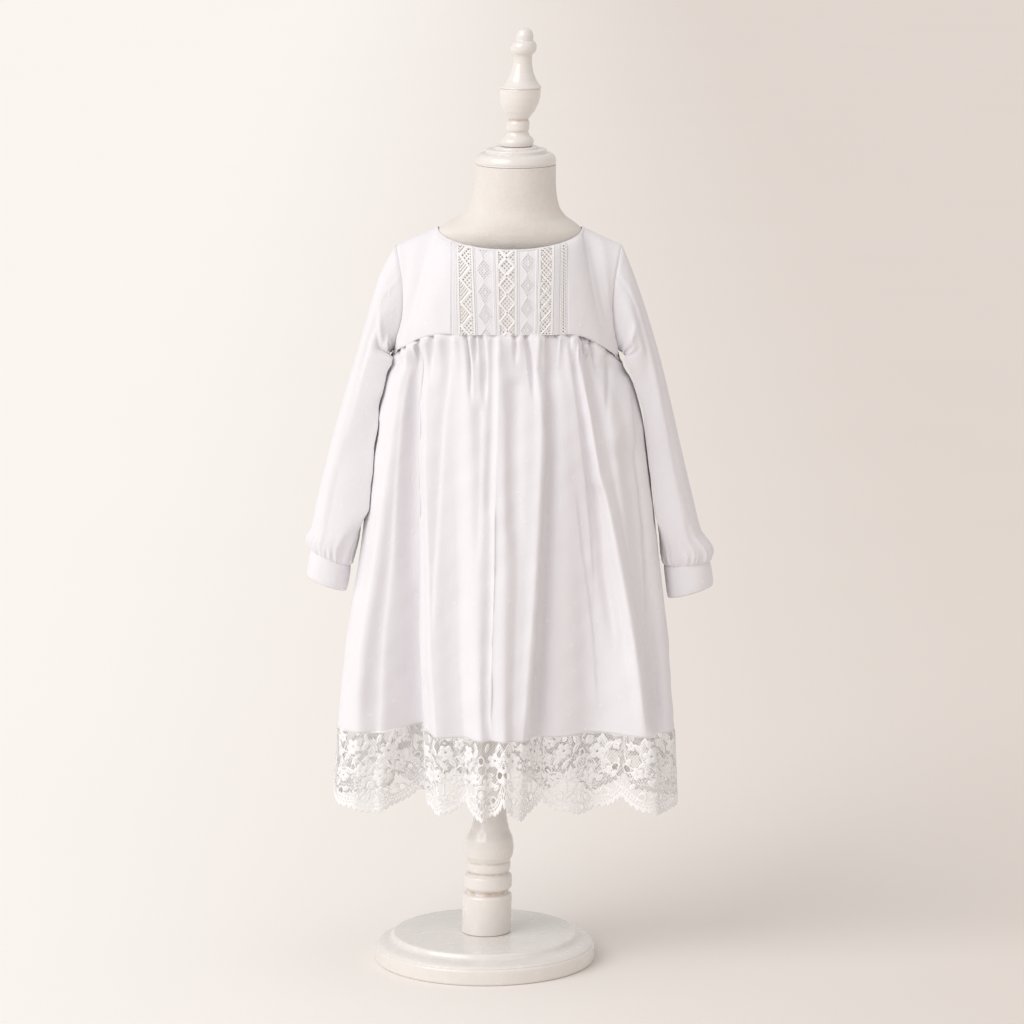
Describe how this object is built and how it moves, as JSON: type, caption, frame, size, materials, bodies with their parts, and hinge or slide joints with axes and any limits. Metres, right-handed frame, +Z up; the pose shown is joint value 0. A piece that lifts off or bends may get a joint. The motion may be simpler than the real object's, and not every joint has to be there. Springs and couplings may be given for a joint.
{
  "type": "christening gown on a limbless dress form",
  "caption": "White cotton christening gown with tucked yoke, gathered skirt, lace flounce and long cuffed sleeves, on a limbless dress form with a turned stand.",
  "frame": {"origin": "centre of the underside of the round base, on the floor", "axes": "+Z up, -Y to the front of the gown, +X to the viewer's right when facing the front"},
  "size_m": [0.408, 0.222, 0.9435],
  "materials": {
    "white_cotton": "fine matt plain weave, lightly creased",
    "white_lace": "matt corded guipure lace",
    "form_cover": "cream fine linen over papier-mache, matt",
    "painted_wood": "ivory paint, semi-gloss, faint tan wear in the grooves",
    "pearl_button": "pearly gloss"
  },
  "bodies": {
    "root": {"yoke_front_left": "white_cotton", "yoke_front_centre": "white_cotton", "yoke_front_right": "white_cotton", "yoke_back_left": "white_cotton", "yoke_back_right": "white_cotton", "skirt_front": "white_cotton", "skirt_back": "white_cotton", "sleeve_left": "white_cotton", "sleeve_right": "white_cotton", "cuff_left": "white_cotton", "cuff_right": "white_cotton", "lace_strip_left": "white_lace", "embroidered_column_left": "white_lace", "lace_strip_centre": "white_lace", "embroidered_column_right": "white_lace", "lace_strip_right": "white_lace", "beading_strip": "white_lace", "lace_front": "white_lace", "lace_back": "white_lace", "cuff_button_left": "pearl_button", "cuff_button_right": "pearl_button", "back_button_1": "pearl_button", "back_button_2": "pearl_button", "back_button_3": "pearl_button", "base": "painted_wood", "post": "painted_wood", "neck_cap": "painted_wood", "finial": "painted_wood", "form_torso": "form_cover"}
  },
  "joints": []
}
